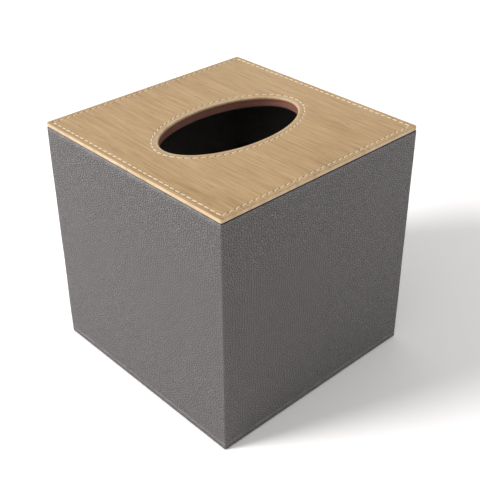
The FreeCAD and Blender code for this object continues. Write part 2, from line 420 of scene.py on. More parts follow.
def turned(side, quarters):
    """Points or directions in plan, turned anticlockwise by so many quarters of a circle."""
    return side @ np.linalg.matrix_power(quarter_turn, quarters)


def four_sides(side):
    """Points or directions on the front side of a square, then on its right, back and left sides."""
    return np.concatenate([turned(side, quarters) for quarters in range(4)])


def square_stations(places):
    """Stations anticlockwise round a rounded square: the places along each straight side, then the places in
    the corner after it. Gives the fixed side on each axis, the place along, and the outward normal."""
    turn = np.arange(1, corner_steps) / corner_steps * np.pi / 2
    on_side, in_corner = len(places), corner_steps - 1
    fixed = np.repeat([[0.0, -1.0], [1.0, -1.0]], [on_side, in_corner], axis=0)
    along = np.concatenate([np.stack([places, 0 * places], 1), np.zeros((in_corner, 2))])
    normal = np.concatenate([np.tile([0.0, -1.0], (on_side, 1)), np.stack([np.sin(turn), -np.cos(turn)], 1)])
    return [four_sides(part) for part in (fixed, along, normal)]


def square_rings(profile, radius, stations, longest):
    """Rings of a profile carried round a square: each ring is a rounded square with the half size and level
    of one profile point. Places along a side keep their distance and are drawn together towards its ends."""
    fixed, along, normal = stations
    radius = radius[:, None, None]
    core = profile[:, :1, None] - radius
    far = np.abs(along)
    drawn = straight_keep + (far - straight_keep) * (core - straight_keep) / (longest - straight_keep)
    place = np.sign(along) * np.where(far <= straight_keep, far, drawn)
    flat = np.where(np.abs(fixed) > 0.5, fixed * core, place) + radius * normal
    level = np.broadcast_to(profile[:, 1:, None], flat.shape[:2] + (1,))
    return np.concatenate([flat, level], axis=2)


def numbered(points, start=0):
    """Point numbers of rows of points, counted on from the start."""
    shape = points.shape[:2]
    return start + np.arange(shape[0] * shape[1]).reshape(shape)


def border_of(numbers):
    """Point numbers round the border of a grid, anticlockwise from its first corner."""
    return np.concatenate([numbers[0, :-1], numbers[:-1, -1], numbers[-1, :0:-1], numbers[:0:-1, 0]])


def quads(numbers):
    """Four-cornered faces between neighbouring rows and columns of an array of point numbers."""
    corners = [numbers[:-1, :-1], numbers[:-1, 1:], numbers[1:, 1:], numbers[1:, :-1]]
    return np.stack(corners, axis=-1).reshape(-1, 4)


def closed(numbers):
    """Point numbers with the first column repeated at the end, which closes each ring."""
    return np.concatenate([numbers, numbers[:, :1]], axis=1)


def square_grid(places, half, level):
    """Flat grid on the places along the sides of a square, with the places of the corners added at each end.
    Gives its points, its point numbers, and the numbers on its rim in the order of the stations."""
    ends = np.linspace(places[-1], half, corner_steps // 2 + 1)[1:]
    lines = np.concatenate([-ends[::-1], places, ends])
    x, y = np.meshgrid(lines, lines)
    points = np.stack([x, y, np.full_like(x, level)], axis=-1)
    numbers = numbered(points)
    return points, numbers, np.roll(border_of(numbers), -(corner_steps // 2))


def make_piece(name, points, faces, material, masks=(), caps=(), hide=None):
    """Smooth piece from points in millimetres and its faces, all turned round if the volume that they close
    comes out negative. Masks are values from 0 to 1 at the points. Caps are faces with more corners. Hide is
    the place of each point on the flat leather."""
    points = points.reshape(-1, 3)
    first, second, third, fourth = (points[faces[:, corner]] for corner in range(4))
    volume = np.sum(np.cross(third - first, fourth - second) * (first + second + third + fourth))
    order = 1 if volume > 0 else -1
    polygons = faces[:, ::order].tolist() + [cap[::order].tolist() for cap in caps]
    mesh = bpy.data.meshes.new(name)
    mesh.from_pydata((points * 0.001).tolist(), [], polygons)
    mesh.polygons.foreach_set("use_smooth", np.ones(len(polygons), bool))
    for label, values in dict(masks).items():
        attribute = mesh.attributes.new(label, "FLOAT", "POINT")
        attribute.data.foreach_set("value", np.ascontiguousarray(values, np.float32).ravel())
    if hide is not None:
        attribute = mesh.attributes.new("hide", "FLOAT_VECTOR", "POINT")
        attribute.data.foreach_set("vector", np.ascontiguousarray(hide * 0.001, np.float32).ravel())
    mesh.materials.append(material)
    piece = bpy.data.objects.new(name, mesh)
    bpy.context.scene.collection.objects.link(piece)
    return piece


def stand_for(piece, node, body):
    """The piece takes the place of a solid of the frame, which is hidden, and goes on the same body."""
    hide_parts(node)
    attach(piece, body)


base_high = box_mm("base_cover")[1]
hinge_low, hinge_high = box_mm("hinge_strip")
cover_half = base_high[0]
board_half = cover_half - leather_thickness
straight_half = cover_half - leather_corner_radius
recess_x = hinge_high[0] + hinge_joint
recess_y = hinge_low[1] - hinge_joint
recess_z = hinge_high[2] + hinge_joint
recess_face = board_half + hinge_skin
recess_under = leather_thickness - hinge_skin
seam_x = cover_half - seam_from_corner
cut_steps = np.array([-cut_margin, -cut_half_width, cut_half_width, cut_margin])
even_places = np.linspace(-straight_half, straight_half, int(2 * straight_half / face_spacing) + 1)
recess_places = np.concatenate([cut_steps - recess_x, cut_steps + recess_x, cut_steps + recess_y])
side_places = np.unique(np.concatenate([even_places, recess_places, seam_x + seam_steps]).round(3))
cover_stations = square_stations(side_places)


def corner_radii(half):
    """Plan radius at each half size: that of the outer corner less the way in, but never quite sharp."""
    return np.maximum(leather_corner_radius - (cover_half - half), inner_corner_radius)


def let_in_hinge(points):
    """Points cut back to make room for the hinge strip: within its width, the back edge goes in to the skin
    that is left on the board, and the underside goes up to the skin there."""
    x, y, z = (points[..., axis] for axis in range(3))
    across = (np.abs(x) < recess_x) & (y > 0)
    edge = across & (z < recess_z)
    under = across & (y > recess_y) & (z < recess_under)
    cut_y = np.where(edge, np.minimum(y, recess_face), y)
    return np.stack([x, cut_y, np.where(under, recess_under, z)], axis=-1)


def leather_edges(points, top, reach):
    """Mask that is 1 on the upper outer edge of a leathered box and falls away within the given reach below
    it. The upright edges have a smaller share of it."""
    x, y, z = (points[..., axis] for axis in range(3))
    from_corner = cover_half - np.minimum(np.abs(x), np.abs(y))
    # The mask pales the edges by wear and by a painted highlight where they catch the light.
    upright = corner_wear_and_highlight * np.exp(-((from_corner / corner_wear_and_highlight_reach) ** 2))
    level = np.exp(-(((top - z) / reach) ** 2))
    outside = np.clip((np.maximum(np.abs(x), np.abs(y)) - board_half) / wear_and_highlight_fade, 0, 1)
    return np.maximum(upright, level) * outside


def flat_places(profile, rings):
    """Places on the flat leather before it is folded: round the square by X less Y on the widest ring, and
    over the edges by the length along the profile."""
    widest = rings[np.argmax(profile[:, 0])]
    steps = np.linalg.norm(np.diff(profile, axis=0), axis=1)
    over = np.concatenate([[0.0], np.cumsum(steps)])
    return np.stack(np.broadcast_arrays(widest[:, 0] - widest[:, 1], over[:, None], 0.0), axis=-1)


def base_cover():
    """Leather tray: a flat grid under the board, rings carried round its rounded edge, in over its upper face
    and back along the board, and a second grid against the board."""
    top, radius = base_high[2], leather_edge_radius
    window = board_half - base_turn_in
    upper = top - leather_thickness + hidden_gap
    lower = leather_thickness - hidden_gap
    inner = board_half + hidden_gap
    middle = cover_half - radius
    end = (top - upper) / 2
    profile = np.concatenate([
        arc((middle, radius), radius, -90, 0),
        run((cover_half, radius), (cover_half, top - radius), edge_spacing),
        arc((middle, top - radius), radius, 0, 90),
        run((middle, top), (window + end, top), face_spacing),
        arc((window + end, top - end), end, 90, 270),
        run((window + end, upper), (inner, upper), hidden_spacing),
        [(inner, upper), (inner, lower)],
    ])
    rings = square_rings(profile, corner_radii(profile[:, 0]), cover_stations, straight_half)
    grid_half = straight_half + inner_corner_radius / 2
    below, below_numbers, below_rim = square_grid(side_places, grid_half, 0.0)
    above, above_numbers, above_rim = square_grid(side_places, grid_half, lower)
    ring_numbers = numbered(rings, below_numbers.size)
    above_start = below_numbers.size + ring_numbers.size
    rows = np.concatenate([below_rim[None], ring_numbers, above_start + above_rim[None]])
    points = np.concatenate([part.reshape(-1, 3) for part in (below, rings, above)])
    hide = np.concatenate([part.reshape(-1, 3) for part in (below, flat_places(profile, rings), above)])
    faces = np.concatenate([
        quads(below_numbers)[:, ::-1], quads(closed(rows)), quads(above_start + above_numbers),
    ])
    points = let_in_hinge(points)
    # Pale upper edge of the flap: wear and a painted highlight.
    masks = {"edge": leather_edges(points, top, base_wear_and_highlight)}
    return make_piece("base_leather", points, faces, leather, masks, hide=hide)


stand_for(base_cover(), "base_cover", "base")

# Cards
# Grey pulp card, die-cut: one fills the space inside the turned-in leather on the base, one does the same on
# the top board, and a third stiffens the stitched pad. They are glued in and never seen once covered.
card_grey = (158, 152, 142)
card_fleck = (112, 106, 98)
card_fibres = (1400.0, 1100.0, 3000.0), 3.0
card_clouds = 150.0, 0.2
card_roughness = 0.98, 0.85
card_relief = 0.00006

pulp_card = fibrous("pulp card", card_fleck, card_grey, card_fibres, card_clouds, card_roughness, card_relief)
dress(["base_infill_card", "top_infill_card", "top_pad_card"], pulp_card)

# Grey leather round the walls
# A single strip of the pebbled leather goes round all four walls and butts at a seam near the back corner. It
# is turned in over the top board, under the walls and up their inner faces, and glued down.
wrap_turn_in = 12.0
top_turn_in = 8.0
wall_board = 5.0
inner_edge_radius = 0.6
beside_edge = 0.4
under_spacing = 1.5
seam_depth = 0.3
seam_half_width = 0.16
mitre_depth = 0.25
same_place = 0.01
wall_unevenness = 0.05
wall_waves = [(0.13, 0.07, 0.0), (0.051, -0.12, 1.7)]
wave_slant = 1.7
# Reach of the pale top edge of the walls: wear and a painted highlight.
wall_wear_and_highlight = 0.9
# Painted shade under the pad: how deep it reaches below the top edge and how much falls on each side.
shade_line_depth = 0.5
shade_line_share = 0.5
shade_line_side = np.array([0.4, -0.5])
shade_hides_highlight = 0.7

wrap_low, wrap_high = box_mm("wall_wrap")


def wrap_profile():
    """Closed profile of the leather: outer face from the top edge down, under the wall, up the inner face
    over the turn-in, and back against the boards."""
    top, bottom, radius = wrap_high[2], wrap_low[2], leather_edge_radius
    middle = cover_half - radius
    flap = board_half - wall_board - leather_thickness
    flap_top = bottom + leather_thickness + wrap_turn_in
    thick = leather_thickness - hidden_gap
    end = thick / 2
    outside = board_half + hidden_gap
    under = bottom + thick
    over = top - thick
    window = board_half - top_turn_in
    face_top = (cover_half, top - radius - beside_edge)
    face_bottom = (cover_half, bottom + radius + beside_edge)
    recess_rows = [(cover_half, recess_z - step) for step in cut_steps]
    return np.concatenate([
        arc((middle, top - radius), radius, 90, 0),
        [face_top],
        run(face_top, recess_rows[0], face_spacing),
        recess_rows,
        run(recess_rows[-1], face_bottom, face_spacing),
        [face_bottom],
        arc((middle, bottom + radius), radius, 0, -90),
        run((middle, bottom), (flap + inner_edge_radius, bottom), under_spacing),
        arc((flap + inner_edge_radius, bottom + inner_edge_radius), inner_edge_radius, -90, -180),
        run((flap, bottom + inner_edge_radius), (flap, flap_top - end), face_spacing),
        arc((flap + end, flap_top - end), end, 180, 0),
        run((flap + thick, flap_top - end), (flap + thick, under), hidden_spacing),
        [(flap + thick, under), (outside, under)],
        run((outside, under), (outside, over), hidden_spacing),
        [(outside, over)],
        arc((window + end, over + end), end, -90, -270),
        run((window + end, top), (middle, top), face_spacing),
    ])


def step_up(value, low, high):
    """Smooth rise from 0 to 1 between two values."""
    share = np.clip((value - low) / (high - low), 0, 1)
    return share * share * (3 - 2 * share)


def carried_round(rings):
    """Faces of a closed profile that is carried all the way round, from its rings of points."""
    numbers = numbered(rings)
    return quads(closed(np.concatenate([numbers, numbers[:1]])))


def wall_wrap():
    """The profile carried round the walls, with the hinge let in, a butt seam at the back, a mitre line at
    each lower corner, a slight unevenness on the faces, and a line of painted shade where the pad lies on
    it. That painted shade is strongest along the front and the right, the sides turned away from the lamp,
    where the painted highlight of the top edge is weakest."""
    profile = wrap_profile()
    points = square_rings(profile, corner_radii(profile[:, 0]), cover_stations, straight_half)
    hide = flat_places(profile, points)
    # Pale top edge of the walls: wear and a painted highlight.
    edges = leather_edges(points, wrap_high[2], wall_wear_and_highlight)
    x, y, z = (points[..., axis] for axis in range(3))
    outer = np.isclose(profile[:, 0], cover_half)[:, None]
    round_wall = x + wave_slant * y
    waves = sum(np.sin(across * round_wall + up * z + start) for across, up, start in wall_waves)
    shift = wall_unevenness * waves * outer * (1 - edges)
    seam = outer & (y > 0) & (z > recess_z)
    shift = shift - seam_depth * np.exp(-(((x - seam_x) / seam_half_width) ** 2)) * seam
    normal = np.round(cover_stations[2])
    points[..., :2] += shift[..., None] * normal
    diagonal = np.isclose(np.abs(x), np.abs(y), atol=same_place)
    lower = np.isclose(z, wrap_low[2], atol=same_place)
    points[..., 2] += mitre_depth * (diagonal & lower)
    points = let_in_hinge(points)
    # Painted shade under the pad's edge, most on the sides away from the lamp, where the highlight is dimmed.
    shade_under_pad = step_up(profile[:, 1:], wrap_high[2] - shade_line_depth, wrap_high[2])
    shaded_side_share = shade_line_share + normal @ shade_line_side
    masks = {"edge": edges * (1 - shade_hides_highlight * shaded_side_share), "painted_shade": shade_under_pad * shaded_side_share}
    return make_piece("wall_leather", points, carried_round(points), leather, masks, hide=hide)


stand_for(wall_wrap(), "wall_wrap", "shell")

# Edge band of the oval
# A thin red-brown strip is bent round and glued to the cut edge of the oval in the top board. Its ends butt
# at the left end of the oval.
band_brown = (156, 104, 88)
band_dark = (122, 80, 68)
band_fibres = (60.0, 60.0, 2600.0), 1.8
band_clouds = 160.0, 0.25
band_roughness = 0.55, 0.4
band_relief = 0.00004
band_thickness = 0.6
band_edge_radius = 0.2
band_edge_steps = 3
band_spacing = 0.6
band_stations = 264
band_seam_depth = 0.15

band_low, band_high = box_mm("opening_edge_band")


def edge_band():
    """Upright strip with rounded edges, carried round the ellipse that it lines, grooved at its joint."""
    radius, thick, steps = band_edge_radius, band_thickness, band_edge_steps
    low, high = band_low[2], band_high[2]
    profile = np.concatenate([
        arc((thick - radius, high - radius), radius, 0, 90, steps),
        arc((radius, high - radius), radius, 90, 180, steps),
        run((0, high - radius), (0, low + radius), band_spacing),
        arc((radius, low + radius), radius, 180, 270, steps),
        arc((thick - radius, low + radius), radius, 270, 360, steps),
    ])
    angle = np.linspace(0, 2 * np.pi, band_stations, endpoint=False)
    joint = band_seam_depth * np.isclose(angle, np.pi) * (profile[:, :1] < radius)
    outward = profile[:, :1] + joint - thick
    x = (band_high[0] + outward) * np.cos(angle)
    y = (band_high[1] + outward) * np.sin(angle)
    points = np.stack([x, y, np.broadcast_to(profile[:, 1:], x.shape)], axis=-1)
    finish = fibrous(
        "edge band", band_dark, band_brown, band_fibres, band_clouds, band_roughness, band_relief
    )
    return make_piece("oval_edge_band", points, carried_round(points), finish)


stand_for(edge_band(), "opening_edge_band", "shell")

# Black lining
# Thin black flannel is cut to size and glued to the four inner walls, under the top board round the oval, and
# as a thicker mat on the base flap. The nap lies in soft patches.
# The flannel is dark grey rather than its own black: painted light for the haze seen inside the oval.
flannel_dark_lifted = (88, 86, 83)
flannel_nap = (116, 113, 109)
flannel_fibres = (1700.0, 1500.0, 1300.0), 2.4
flannel_clouds = 55.0, 0.4
flannel_roughness = 1.0, 0.88
flannel_relief = 0.0002
flannel_sheen = {"Sheen Weight": 0.1, "Sheen Roughness": 0.5}
lining_spacing = 4.0
lining_unevenness = 0.12
lining_sink = 0.5
lining_swing = 0.3
crossed_waves = 0.31, 0.27
crossed_start = 0.9
slanting_waves = 0.73, -0.52
slanting_share = 0.6
front_from = 0.9
lining_setback = 0.6
lining_corner = 0.3
lining_ripple = 0.05
lining_ripple_turn = 1.3
lining_rings = 16
rim_steps = 6
least_corner = 0.2
oval_stations = 240

lining_cloth = fibrous(
    "black flannel", flannel_dark_lifted, flannel_nap, flannel_fibres, flannel_clouds, flannel_roughness,
    flannel_relief, flannel_sheen,
)


def slab(half_u, half_v, thickness, spacing_u, spacing_v):
    """Closed flat sheet with a rounded rim: a front grid, rings on a half circle round the rim, and a back
    grid. Gives its points as width, length and height above the back, and its faces."""
    rim = thickness / 2
    lines_u = np.linspace(-1, 1, int(2 * half_u / spacing_u) + 2)
    lines_v = np.linspace(-1, 1, int(2 * half_v / spacing_v) + 2)
    u, v = np.meshgrid(lines_u, lines_v)
    flat = np.stack([u * (half_u - rim), v * (half_v - rim), 0 * u], axis=-1)
    front = flat + [0, 0, thickness]
    numbers = numbered(flat)
    loop = border_of(numbers)
    angle = np.radians(np.linspace(90, -90, rim_steps + 1))[1:-1, None]
    grow = rim * (np.cos(angle) - 1)
    ring_u = u.ravel()[loop] * (half_u + grow)
    ring_v = v.ravel()[loop] * (half_v + grow)
    rings = np.stack([ring_u, ring_v, rim + rim * np.sin(angle) + 0 * ring_u], axis=-1)
    ring_numbers = numbered(rings, numbers.size)
    back_start = numbers.size + ring_numbers.size
    rows = np.concatenate([loop[None], ring_numbers, back_start + loop[None]])
    points = np.concatenate([part.reshape(-1, 3) for part in (front, rings, flat)])
    faces = np.concatenate([
        quads(numbers), quads(closed(rows[::-1])), quads(back_start + numbers)[:, ::-1],
    ])
    return points, faces


def soft_face(points, thickness):
    """Sheet whose front sinks and rises gently in crossed and slanting waves, as glued cloth does, while its
    back and rim stay put."""
    u, v, height = points.T
    crossed = np.sin(crossed_waves[0] * u + crossed_start) * np.sin(crossed_waves[1] * v)
    slanting = np.sin(slanting_waves[0] * u + slanting_waves[1] * v)
    waves = crossed + slanting_share * slanting
    sink = lining_unevenness * (lining_sink + lining_swing * waves) * (height > thickness * front_from)
    return np.stack([u, v, height - sink], axis=1)


def glued_sheet(name, node, axes, front, body):
    """Flannel sheet that fills the box of a solid. Axes gives the frame's axes for its width, its length and
    its thickness, and front is the way that its napped face looks along the last of them."""
    low, high = box_mm(node)
    half = (high - low)[axes] / 2
    middle = (high + low)[axes] / 2
    thickness = 2 * half[2]
    points, faces = slab(half[0], half[1], thickness, lining_spacing, lining_spacing)
    points = soft_face(points, thickness)
    placed = np.empty_like(points)
    placed[:, axes[:2]] = points[:, :2] + middle[:2]
    placed[:, axes[2]] = middle[2] + front * (points[:, 2] - half[2])
    piece = make_piece(name, placed, faces, lining_cloth)
    stand_for(piece, node, body)
    return piece, (2 * half[:2] / 1000).tolist()


along_x, along_y, upward = 0, 1, 2
wall_linings = {
    "front": ([along_x, upward, along_y], 1),
    "back": ([along_x, upward, along_y], -1),
    "left": ([along_y, upward, along_x], 1),
    "right": ([along_y, upward, along_x], -1),
}
for side, (axes, front) in wall_linings.items():
    piece, cut = glued_sheet(side + "_lining", side + "_liner", axes, front, "shell")

base_mat, base_cut = glued_sheet("base_mat", "base_liner", [along_x, along_y, upward], 1, "base")


def oval_ring(semi_axes, angle):
    """Ellipses, one for each pair of semi-axes, at the given angles."""
    return np.stack([semi_axes[:, :1] * np.cos(angle), semi_axes[:, 1:] * np.sin(angle)], axis=-1)


def square_ring(half, radius, share):
    """Rounded squares, one for each half size, with a radius for each corner from the front left one on.
    Share runs from -1 to 1 along each side, by length from the middle of one corner to the middle of the
    next, and the four sides follow anticlockwise."""
    corner = np.stack([radius, np.roll(radius, -1, axis=1)])
    bend = np.where(share[:, None] < 0, corner[0][:, None], corner[1][:, None])
    core = half[:, None, None] - bend
    length = share[:, None] * (core + bend * np.pi / 4)
    angle = np.clip((np.abs(length) - core) / bend, 0, None)
    x = np.sign(length) * np.where(angle > 0, core + bend * np.sin(angle), np.abs(length))
    y = -core - bend * np.cos(angle)
    sides = [np.stack([x[..., side], y[..., side]], axis=-1) for side in range(4)]
    return np.concatenate([turned(side, quarters) for quarters, side in enumerate(sides)], axis=1)


def oval_to_square(toward_oval, inset, outside, half, oval, radii, share):
    """Rings between the outline of a square and an oval: each is a blend of the outline drawn in by its inset
    and the oval grown by its outside, at stations that look the same way from the middle."""
    square = square_ring(half - inset, np.maximum(radii - inset[:, None], least_corner), share)
    corner = square_ring(np.array([half]), np.full((1, 4), least_corner), share)[0]
    angle = np.arctan2(corner[:, 1], corner[:, 0])
    grown = oval_ring(np.array(oval)[None] + outside[:, None], angle)
    return square * (1 - toward_oval)[:, None, None] + grown * toward_oval[:, None, None]


def top_lining():
    """Flannel round the oval: a profile with a rounded rim, carried between the outline and the oval."""
    low, high = box_mm("top_liner")
    half, thick = high[0], high[2] - low[2]
    oval_hole = band_high[:2] - band_thickness + lining_setback
    rim = thick / 2
    angle = np.radians(np.linspace(-90, 90, rim_steps + 1))
    blend = np.linspace(0, 1, lining_rings + 2)[1:-1]
    toward = np.concatenate([0 * angle, blend, 0 * angle + 1, 1 - blend])
    rounded = np.concatenate([rim * (1 - np.cos(angle)), 0 * blend + rim])
    edge = np.concatenate([rounded, rounded])
    front = lining_ripple * np.sin(np.arange(lining_rings) * lining_ripple_turn)
    level = np.concatenate([rim * np.sin(angle), 0 * blend + rim, -rim * np.sin(angle), front - rim])
    share = np.linspace(-1, 1, oval_stations // 4, endpoint=False)
    flat = oval_to_square(toward, edge, edge, half, oval_hole, np.full(4, lining_corner), share)
    height = np.broadcast_to(level[:, None, None] + (low[2] + high[2]) / 2, flat.shape[:2] + (1,))
    points = np.concatenate([flat, height], axis=2)
    piece = make_piece("top_lining", points, carried_round(points), lining_cloth)
    stand_for(piece, "top_liner", "shell")
    return piece, 2 * half / 1000, np.pi * np.prod(oval_hole) / 1e6


top_piece, top_cut, oval_cut = top_lining()

# Wood-grain leather of the pad
# Smooth leather printed with a straight oak grain is pulled over the pad's card, rounded over the outline and
# the lip of the oval, and sewn along both. The pull leaves the rounded edges paler than the flat, and these
# edges carry a painted highlight too.
oak_light = (200, 167, 120)
oak_mid = (187, 152, 102)
oak_dark = (166, 130, 83)
oak_pore = (136, 102, 70)
# Pale edge colour: stretched leather, with a painted highlight on the rounded edges and the lip.
stretched_pale_and_highlight = (225, 202, 170)
painted_edge = (138, 92, 77)
# Colour of the painted shade in the needle holes and under the tucked outline of the pad.
needle_shade_dark = (82, 56, 38)
grain_sway = (14.0, 5.0, 5.0)
grain_sway_width = 0.012
oak_bands = (60.0, 6.0, 6.0), 1.6
oak_streaks = (340.0, 9.0, 9.0), 1.9
oak_threads = (1000.0, 34.0, 34.0), 3.2
oak_pores = (1000.0, 80.0, 80.0), 2.4
pore_range = 0.66, 0.95
oak_figure = (60.0, 3.6, 1.0)
band_share = 0.15
streak_share = 0.24
thread_share = 0.42
figure_share = 0.08
pore_share = 0.45
dark_to_mid = 0.14, 0.46
mid_to_light = 0.42, 0.73
pale_and_highlight_patches = 160.0
pale_and_highlight_amount = 0.75
fine_pebbles = {"Pebbles": 1500.0, "Wander": 0.0006, "Crease Width": 0.25}
fine_relief = 0.5
oak_clouds = 35.0, 0.1
oak_roughness = 0.48, 0.36
oak_relief = 0.00008, 0.7
pad_leather = 0.9
pad_corner_radii = np.array([1.0, 2.4, 2.0, 2.4])
pad_edge_radius = 0.5
pad_tuck_radius = 0.6
pad_gap = 0.5
pad_gap_depth = 0.8
band_setback = 0.3
lip_radius = 0.8
lip_tuck_radius = 0.3
lip_middle_drop = 0.2
round_steps = 7
tuck_steps = 3
edge_row_inset = 3.3
oval_row_outside = 4.0
row_steps = np.array([-1.2, -0.85, -0.6, -0.4, -0.2, 0.0, 0.2, 0.4, 0.6, 0.85, 1.2])
row_groove = 0.16
row_half_width = 0.55
edge_margin_steps = [0.8, 1.2, 1.7]
lip_margin_steps = [0.9, 1.4, 2.0]
margin_crown = 0.14
margin_rise = 0.2, 0.9
margin_fall = 1.6
lip_crown = 0.06
lip_rise = 0.1, 1.4
lip_fall = 2.0
crown_to_row = 0.3
flat_from = 5.6
flat_rings = 12
hidden_blend = np.array([1.0, 0.6, 0.3, 0.0])
pale_edge = 0.0, 0.5
pale_lip = 0.4, 2.6
pale_lip_share = 0.75
paint_below = 0.9, 1.3
tucked_from = 0.1
needle_depth = 0.24
needle_radius = 0.42
needle_shade_gain = 1.5
needle_shade_from = 0.2
stitches_per_side = 33
stations_per_stitch = 8
oval_stitches = 61
oval_chords = 4000

pad_low, pad_high = box_mm("top_pad_leather")
pad_half = pad_high[0]
oval_axes = band_high[:2] - band_thickness - band_setback


def wood_grain():
    """Printed oak: broad bands of tone, finer streaks and short pores that all run along Y, a few wide arches
    of figure, edges paler from the pull and from a painted highlight, painted shade in the needle holes and
    under the pad's tucked outline, and a painted edge in the oval, under a fine grain."""
    material, tree, shader, place = start_material("wood-grain leather")
    sway = add(tree, "TexNoise", {"Vector": scaled(tree, place, grain_sway), "Scale": 1.0, "Detail": 1.0})
    shift = calc(tree, "MULTIPLY", calc(tree, "SUBTRACT", sway, 0.5), grain_sway_width)
    swayed = add(tree, "VectorMath", {0: place, 1: add(tree, "CombineXYZ", {"X": shift})}, operation="ADD")
    arches = {"Vector": scaled(tree, swayed, oak_figure), "Scale": 1.0, "Distortion": 5.0, "Detail": 2.0}
    figure = add(tree, "TexWave", {**arches, "Detail Scale": 0.6}, output="Fac", wave_type="RINGS")
    tone = calc(tree, "MULTIPLY", figure, figure_share)
    for strands, share in ((oak_bands, band_share), (oak_streaks, streak_share), (oak_threads, thread_share)):
        tone = calc(tree, "ADD", tone, calc(tree, "MULTIPLY", fibres(tree, swayed, *strands), share))
    pores = spread(tree, fibres(tree, swayed, *oak_pores), *pore_range)
    oak = blend_colour(tree, spread(tree, tone, *dark_to_mid), tint(*oak_dark), tint(*oak_mid))
    oak = blend_colour(tree, spread(tree, tone, *mid_to_light), oak, tint(*oak_light))
    oak = blend_colour(tree, calc(tree, "MULTIPLY", pores, pore_share), oak, tint(*oak_pore))
    # Rounded edges paler from the pull and from a painted highlight.
    oak = blend_colour(tree, patchy_edge_mask(tree, place, pale_and_highlight_patches, pale_and_highlight_amount), oak, tint(*stretched_pale_and_highlight))
    # Painted shade in the needle holes and under the pad's tucked outline.
    oak = blend_colour(tree, mask_of(tree, "needle"), oak, tint(*needle_shade_dark))
    oak = blend_colour(tree, mask_of(tree, "painted"), oak, tint(*painted_edge))
    grain = use_group(tree, pebble_group, {"Vector": place, **fine_pebbles})
    relief = calc(tree, "SUBTRACT", calc(tree, "MULTIPLY", grain["Height"], fine_relief), pores)
    feed(tree, shader, {
        "Base Color": toned(tree, place, oak, *oak_clouds),
        "Roughness": spread(tree, grain["Height"], *gloss_range, *oak_roughness),
        "Normal": bumped(tree, relief, *oak_relief),
    })
    return material


def pad_rings():
    """Rings of the pad leather in order round its closed profile, as blend towards the oval, inset from the
    outline, distance outside the oval, and level."""
    low, high = pad_low[2], pad_high[2]
    quarter = np.radians(np.linspace(0, 90, round_steps + 1))
    tuck = np.radians(np.linspace(0, 90, tuck_steps + 1))
    ceiling = high - pad_leather + hidden_gap
    edge_margin = np.concatenate([edge_margin_steps, edge_row_inset + row_steps, [flat_from]])
    oval_margin = np.concatenate([lip_margin_steps, oval_row_outside + row_steps, [flat_from]])[::-1]
    blend = np.linspace(0, 1, flat_rings + 2)[1:-1]
    under = low + pad_gap
    inset = np.concatenate([
        [pad_gap_depth, pad_gap_depth], pad_tuck_radius * (1 - np.sin(tuck)), [0.0],
        pad_edge_radius * (1 - np.cos(quarter)), edge_margin,
    ])
    edge_level = np.concatenate([
        [low, under], under + pad_tuck_radius * (1 - np.cos(tuck)),
        [(under + pad_tuck_radius + high - pad_edge_radius) / 2],
        high - pad_edge_radius * (1 - np.sin(quarter)), high + 0 * edge_margin,
    ])
    outside = np.concatenate([
        oval_margin, lip_radius * (1 - np.sin(quarter)), [0.0],
        lip_tuck_radius * (1 - np.cos(tuck)), [pad_leather],
    ])
    oval_level = np.concatenate([
        high + 0 * oval_margin, high - lip_radius * (1 - np.cos(quarter)),
        [(low + high) / 2 - lip_middle_drop],
        low + lip_tuck_radius * (1 - np.sin(tuck)), [low + hidden_gap],
    ])
    back, flat = 0 * hidden_blend, flat_from + 0 * blend
    toward = np.concatenate([0 * inset, blend, 0 * outside + 1, hidden_blend, [0.0]])
    level = np.concatenate([edge_level, high + 0 * blend, oval_level, ceiling + back, [low + hidden_gap]])
    insets = np.concatenate([inset, flat, 0 * outside + flat_from, pad_leather + back, [pad_leather]])
    outsides = np.concatenate([0 * inset + flat_from, flat, outside, pad_leather + back, [pad_leather]])
    return toward, insets, outsides, level


def oval_row():
    """Fine angles round the oval's stitch row, and the length along it up to each, as a sum of chords."""
    fine = np.linspace(0, 2 * np.pi, oval_chords + 1)
    points = oval_ring((oval_axes + oval_row_outside)[None], fine)[0]
    return fine, np.concatenate([[0], np.cumsum(np.linalg.norm(np.diff(points, axis=0), axis=1))])


def from_nearest(length, pitch):
    """Distance to the nearest of the marks that follow each other at one pitch."""
    return np.abs((length + pitch / 2) % pitch - pitch / 2)


